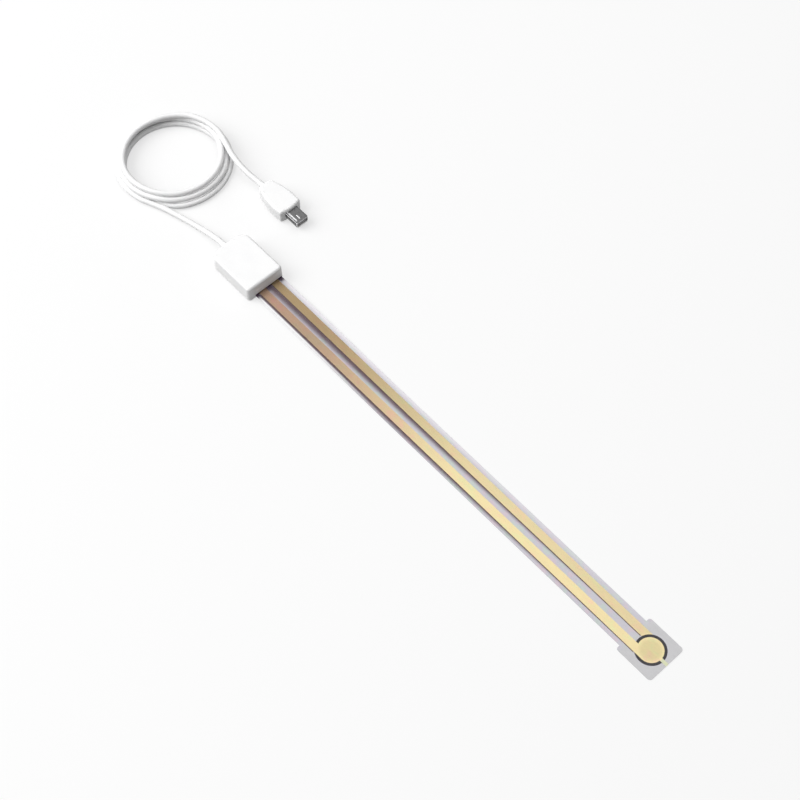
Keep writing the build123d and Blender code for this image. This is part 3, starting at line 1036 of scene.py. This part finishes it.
@dataclass(frozen=True)
class BoardLaminate(Finish):
    """Green solder resist over copper tracks, with the laminate bare at its edges."""

    resist: Colour = (0.03, 0.16, 0.07)
    track: Colour = (0.05, 0.26, 0.11)
    edge: Colour = (0.45, 0.42, 0.24)
    roughness: float = 0.32
    tracks_per_metre: float = 420.0
    second_track: float = 0.4
    cloth_size: float = 0.2 * MM
    cloth_depth: float = 0.004 * MM
    cloth_gloss: float = 0.2
    flat: Span = (0.4, 0.7)

    def paint(self, painter: Painter) -> None:
        """Tracks as bands under the resist.

        Args:
            painter: The material's painter.
        """
        up = abs(painter.facing()).rise(*self.flat)
        bands = painter.add(
            "ShaderNodeTexBrick",
            inputs={
                "Vector": painter.place(),
                "Scale": self.tracks_per_metre,
                "Color1": (1.0,) * 3,
                "Color2": (self.second_track,) * 3,
                "Mortar": (0.0,) * 3,
            },
            output="Color",
        )
        cloth = painter.noise(self.cloth_size)
        on_top = painter.mix(bands, self.resist, self.track)
        painter.surface(
            Base_Color=painter.mix(up, self.edge, on_top),
            Roughness=self.roughness + cloth.swing(self.cloth_gloss),
            Normal=painter.bump(cloth, self.cloth_depth),
        )


def insulation(name: str, colour: Colour, shade: Colour) -> Plastic:
    """A conductor's insulation.

    Args:
        name: The finish's name.
        colour: Its colour.
        shade: The colour of its cloudy parts.

    Returns:
        The finish.
    """
    return Plastic(name, colour=colour, shade=shade, grain=Grain.EXTRUDED)


class Palette:
    """Every finish of the object."""

    white_housing = Plastic("white_housing_plastic")
    white_plug = Plastic("white_plug_plastic", roughness=0.36, grain_size=0.09 * MM)
    white_cable = Plastic(
        "white_cable_jacket",
        colour=(0.91, 0.91, 0.91),
        shade=(0.88, 0.88, 0.885),
        roughness=0.34,
        grain=Grain.EXTRUDED,
        grain_size=0.5 * MM,
        grain_depth=0.006 * MM,
    )
    top_film = ClearFilm("top_film_clear")
    base_film = ClearFilm("base_film_clear", window_haze=0.75)
    adhesive = HazyAdhesive("spacer_adhesive_milky")
    lower_gold = PrintedConductor(
        "lower_conductor_gold",
        colour=(0.74, 0.62, 0.35),
        warm=(0.78, 0.59, 0.36),
        green=(0.69, 0.64, 0.35),
        # Painted shade of this trace towards the housing.
        housing_shade_tint=(0.53, 0.455, 0.42),
    )
    upper_gold = PrintedConductor("upper_conductor_gold")
    ink = SensingInk("sensing_ink_black")
    shell = PlugPlating(
        "plug_shell_nickel",
        colour=(0.145, 0.145, 0.147),
        tarnish=(0.09, 0.09, 0.092),
        roughness=0.46,
    )
    tin = Metal("terminal_tin", (0.70, 0.70, 0.71), (0.45, 0.45, 0.46), 0.35)
    solder = Metal("solder_grey", (0.66, 0.66, 0.68), (0.45, 0.45, 0.47), 0.28)
    gilt = Metal("contact_gilt", (0.85, 0.66, 0.28), (0.60, 0.42, 0.18), 0.25)
    grey_resin = Plastic("grey_resin", (0.66, 0.66, 0.67), (0.58, 0.58, 0.59), 0.5)
    resin = Plastic("black_resin", (0.022, 0.022, 0.024), (0.035, 0.035, 0.037), 0.5)
    ceramic = Plastic("capacitor_ceramic", (0.42, 0.30, 0.18), (0.36, 0.25, 0.15), 0.45)
    board = BoardLaminate("board_laminate")
    red = insulation("red_insulation", (0.52, 0.02, 0.02), (0.42, 0.015, 0.015))
    black = insulation("black_insulation", (0.02, 0.02, 0.02), (0.03, 0.03, 0.03))
    green = insulation("green_insulation", (0.02, 0.26, 0.07), (0.015, 0.2, 0.05))
    white = insulation("white_insulation", (0.8, 0.8, 0.79), (0.7, 0.7, 0.69))


def dress(node: str, finish: Finish) -> None:
    """Give a CAD node its finish.

    Args:
        node: The node's name.
        finish: The finish.
    """
    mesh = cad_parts[node].data
    if not mesh.materials:
        mesh.materials.append(None)
    for i in range(len(mesh.materials)):
        mesh.materials[i] = finish.material()
    LOG.info("%s: %s", node, finish.name)


@dataclass(frozen=True)
class Assembly:
    """Pieces that keep their CAD shapes and get a finish each."""

    finishes: tuple[tuple[str, Finish], ...]

    def build(self) -> None:
        """Dress every piece."""
        for node, finish in self.finishes:
            dress(node, finish)


@dataclass(frozen=True)
class SensorStrip(Assembly):
    """The printed film strip, from its lowest layer up."""

    finishes: tuple[tuple[str, Finish], ...] = (
        ("base_film", Palette.base_film),
        ("lower_electrode", Palette.lower_gold),
        ("lower_ink", Palette.ink),
        ("spacer_adhesive", Palette.adhesive),
        ("upper_ink", Palette.ink),
        ("upper_electrode", Palette.upper_gold),
        ("top_film", Palette.top_film),
    )


@dataclass(frozen=True)
class Housing(Assembly):
    """The moulded housing and what it holds."""

    finishes: tuple[tuple[str, Finish], ...] = (
        ("housing_base", Palette.white_housing),
        ("housing_cover", Palette.white_housing),
        ("strain_relief", Palette.white_cable),
        ("circuit_board", Palette.board),
        ("lower_terminal", Palette.tin),
        ("upper_terminal", Palette.tin),
        ("chip_leads", Palette.tin),
        ("amplifier_chip", Palette.resin),
        ("chip_resistors", Palette.resin),
        ("chip_capacitors", Palette.ceramic),
        ("solder_joints", Palette.solder),
        ("red_conductor", Palette.red),
        ("black_conductor", Palette.black),
        ("green_conductor", Palette.green),
        ("white_conductor", Palette.white),
    )


@dataclass(frozen=True)
class Plug(Assembly):
    """The plug at the cable's end, with what is inside its shell."""

    finishes: tuple[tuple[str, Finish], ...] = (
        ("plug_body", Palette.white_plug),
        ("plug_shell", Palette.shell),
        ("plug_insulator", Palette.grey_resin),
        ("plug_contacts", Palette.gilt),
    )


@dataclass(frozen=True)
class CoilStation:
    """How far from its middle and how high the coil runs after an angle of travel."""

    angle: float
    radius: float
    height: float


@dataclass(frozen=True)
class Cable:
    """The white cable, from the strain relief through its coil to the plug. Millimetres."""

    diameter: float = 2.0
    length: float = 454.0
    coil_middle: tuple[float, float] = (-227.1, 8.8)
    coil_start: float = -75.0
    step: float = 20.0
    curve_order: int = 3
    curve_steps: int = 8
    section_steps: int = 6
    housing_route: tuple[Point, ...] = (
        (-188.5, -1.0, 2.6),
        (-190.9, -1.0, 2.6),
        (-195.3, -1.3, 1.75),
        (-200.0, -2.0, 1.1),
        (-205.4, -3.15, 1.0),
        (-214.4, -5.7, 1.0),
        (-219.6, -7.8, 1.0),
    )
    stations: tuple[CoilStation, ...] = (
        CoilStation(0, 18.15, 1.00),
        CoilStation(50, 18.95, 1.00),
        CoilStation(150, 19.05, 1.00),
        CoilStation(245, 19.15, 1.00),
        CoilStation(316, 18.75, 1.00),
        CoilStation(352, 16.10, 1.00),
        CoilStation(410, 16.65, 1.00),
        CoilStation(540, 16.65, 1.00),
        CoilStation(612, 17.75, 2.60),
        CoilStation(676, 17.25, 2.70),
        CoilStation(697, 17.15, 3.00),
        CoilStation(712, 17.15, 2.78),
        CoilStation(765, 17.85, 2.78),
        CoilStation(845, 17.90, 2.78),
        CoilStation(908, 16.90, 3.10),
        CoilStation(945, 16.20, 3.95),
        CoilStation(1036, 15.95, 4.30),
        CoilStation(1067, 15.95, 4.50),
        CoilStation(1125, 16.65, 4.45),
        CoilStation(1195, 16.80, 4.45),
        CoilStation(1245, 17.30, 5.00),
        CoilStation(1280, 17.60, 5.10),
    )
    plug_route: tuple[Point, ...] = (
        (-222.2, 25.95, 5.1),
        (-217.6, 24.65, 5.05),
        (-213.2, 23.4, 4.65),
        (-207.9, 23.05, 3.75),
        (-204.0, 23.3, 3.0),
        (-200.3, 23.75, 2.65),
        (-197.3, 23.75, 2.65),
    )

    def at(self, travelled: float) -> tuple[float, float]:
        """The coil's radius and height after an angle of travel.

        Args:
            travelled: The angle in degrees.

        Returns:
            The radius and the height, eased between the stations on each side.
        """
        for before, after in zip(self.stations, self.stations[1:]):
            if travelled <= after.angle:
                share = (travelled - before.angle) / (after.angle - before.angle)
                eased = share * share * (3 - 2 * share)
                radius = before.radius + (after.radius - before.radius) * eased
                height = before.height + (after.height - before.height) * eased
                return radius, height
        return self.stations[-1].radius, self.stations[-1].height

    def turns(self) -> list[Point]:
        """The coil's points, a fixed step apart.

        Returns:
            The points, set out a little, because the curve passes inside them.
        """
        end = self.stations[-1].angle
        count = math.ceil(end / self.step)
        outward = 4.0 / (3.0 + math.cos(math.radians(end / count)))
        points = []
        for i in range(count + 1):
            travelled = end * i / count
            radius, height = self.at(travelled)
            turn = math.radians(self.coil_start - travelled)
            points.append((
                self.coil_middle[0] + radius * outward * math.cos(turn),
                self.coil_middle[1] + radius * outward * math.sin(turn),
                height,
            ))
        return points

    def build(self) -> bpy.types.Object:
        """Make the cable as one curve, in place of its CAD solids.

        Returns:
            The cable.
        """
        route = [*self.housing_route, *self.turns(), *self.plug_route]
        curve = bpy.data.curves.new("cable", "CURVE")
        curve.dimensions = "3D"
        curve.resolution_u = self.curve_steps
        curve.bevel_depth = self.diameter / 2 * MM
        curve.bevel_resolution = self.section_steps
        spline = curve.splines.new("NURBS")
        spline.points.add(len(route) - 1)
        for point, place in zip(spline.points, route):
            point.co = (*(value * MM for value in place), 1.0)
        spline.order_u = self.curve_order
        spline.use_endpoint_u = True
        cable = bpy.data.objects.new("cable", curve)
        bpy.context.scene.collection.objects.link(cable)
        curve.materials.append(Palette.white_cable.material())
        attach(cable, "root")
        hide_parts("housing_lead", "cable_coil", "plug_lead")
        LOG.info("cable: %d points, %.0f mm", len(route), self.length)
        return cable


@dataclass(frozen=True)
class Lamp:
    """A soft rectangular lamp. Metres and watts."""

    name: str
    place: Point
    aim: Point
    size: tuple[float, float]
    power: float

    def build(self) -> None:
        """Put the lamp in the scene, turned to what it lights."""
        light = bpy.data.lights.new(self.name, "AREA")
        light.shape = "RECTANGLE"
        light.size, light.size_y = self.size
        light.energy = self.power
        lamp = bpy.data.objects.new(self.name, light)
        lamp.location = self.place
        way = Vector(self.aim) - Vector(self.place)
        lamp.rotation_euler = way.to_track_quat("-Z", "Y").to_euler()
        bpy.context.scene.collection.objects.link(lamp)


@dataclass(frozen=True)
class Studio:
    """The camera, the pale floor, the soft lamps and the world. Metres."""

    camera_place: Point = (0.07930, -0.16936, 0.43395)
    camera_right: Point = (0.67430, 0.73846, 0.00191)
    camera_up: Point = (-0.63760, 0.58089, 0.50599)
    focal_length: float = 73.62
    sensor: float = 36.0
    nearest: float = 0.01
    farthest: float = 20.0
    floor_drop: float = 0.02 * MM
    floor_size: float = 6.0
    floor_albedo: float = 0.35
    floor_roughness: float = 0.9
    floor_glow: float = 0.61
    world_light: float = 0.32
    lamps: tuple[Lamp, ...] = (
        Lamp("key_lamp", (-0.832, -0.741, 0.984), (-0.12, 0.0, 0.0), (1.2, 1.2), 20.9),
        Lamp("sheen_lamp", (-0.22, 0.27, 0.80), (-0.04, 0.0, 0.0), (0.6, 0.6), 1.7),
    )

    def build(self) -> None:
        """Set the camera, floor, lamps and world."""
        self._camera()
        self._floor()
        self._world()
        for lamp in self.lamps:
            lamp.build()
        bpy.context.scene.view_settings.view_transform = "Standard"
        LOG.info("studio: %d lamps", len(self.lamps))

    def _camera(self) -> None:
        """The photograph's viewpoint."""
        data = bpy.data.cameras.new("camera")
        data.lens = self.focal_length
        data.sensor_width = self.sensor
        data.clip_start = self.nearest
        data.clip_end = self.farthest
        right, up = (Vector(way).normalized() for way in (self.camera_right, self.camera_up))
        back = right.cross(up).normalized()
        up = back.cross(right)
        turn = Matrix((right, up, back)).transposed().to_4x4()
        camera = bpy.data.objects.new("camera", data)
        camera.matrix_world = Matrix.Translation(self.camera_place) @ turn
        bpy.context.scene.collection.objects.link(camera)
        bpy.context.scene.camera = camera

    def _floor(self) -> None:
        """A plain pale floor that keeps the object's shadow."""
        half = self.floor_size / 2
        mesh = bpy.data.meshes.new("floor")
        outline = ((-half, -half), (half, -half), (half, half), (-half, half))
        corners = [(x, y, -self.floor_drop) for x, y in outline]
        mesh.from_pydata(corners, [], [(0, 1, 2, 3)])
        floor = bpy.data.objects.new("floor", mesh)
        bpy.context.scene.collection.objects.link(floor)
        painter = Painter("floor_paper")
        painter.surface(
            Base_Color=(self.floor_albedo,) * 3,
            Roughness=self.floor_roughness,
            Specular_IOR_Level=0.0,
        )
        strength = painter.seen() * self.floor_glow
        glow = painter.add("ShaderNodeEmission", inputs={"Strength": strength})
        both = painter.add("ShaderNodeAddShader", inputs={0: painter.shader, 1: glow})
        painter.feed(painter.output.inputs["Surface"], both)
        mesh.materials.append(painter.material)

    def _world(self) -> None:
        """An even pale surround, seen as white."""
        world = bpy.data.worlds.new("surround")
        world.use_nodes = True
        tree = Tree(world.node_tree)
        strength = tree.seen() * (1.0 - self.world_light) + self.world_light
        background = tree.add("ShaderNodeBackground", inputs={"Strength": strength})
        tree.node("ShaderNodeOutputWorld", inputs={"Surface": background})
        bpy.context.scene.world = world


def main() -> None:
    """Build the scene piece by piece."""
    logging.basicConfig(level=logging.INFO, format="%(message)s")
    Studio().build()
    Cable().build()
    SensorStrip().build()
    Housing().build()
    Plug().build()


if __name__ == "__main__":
    main()
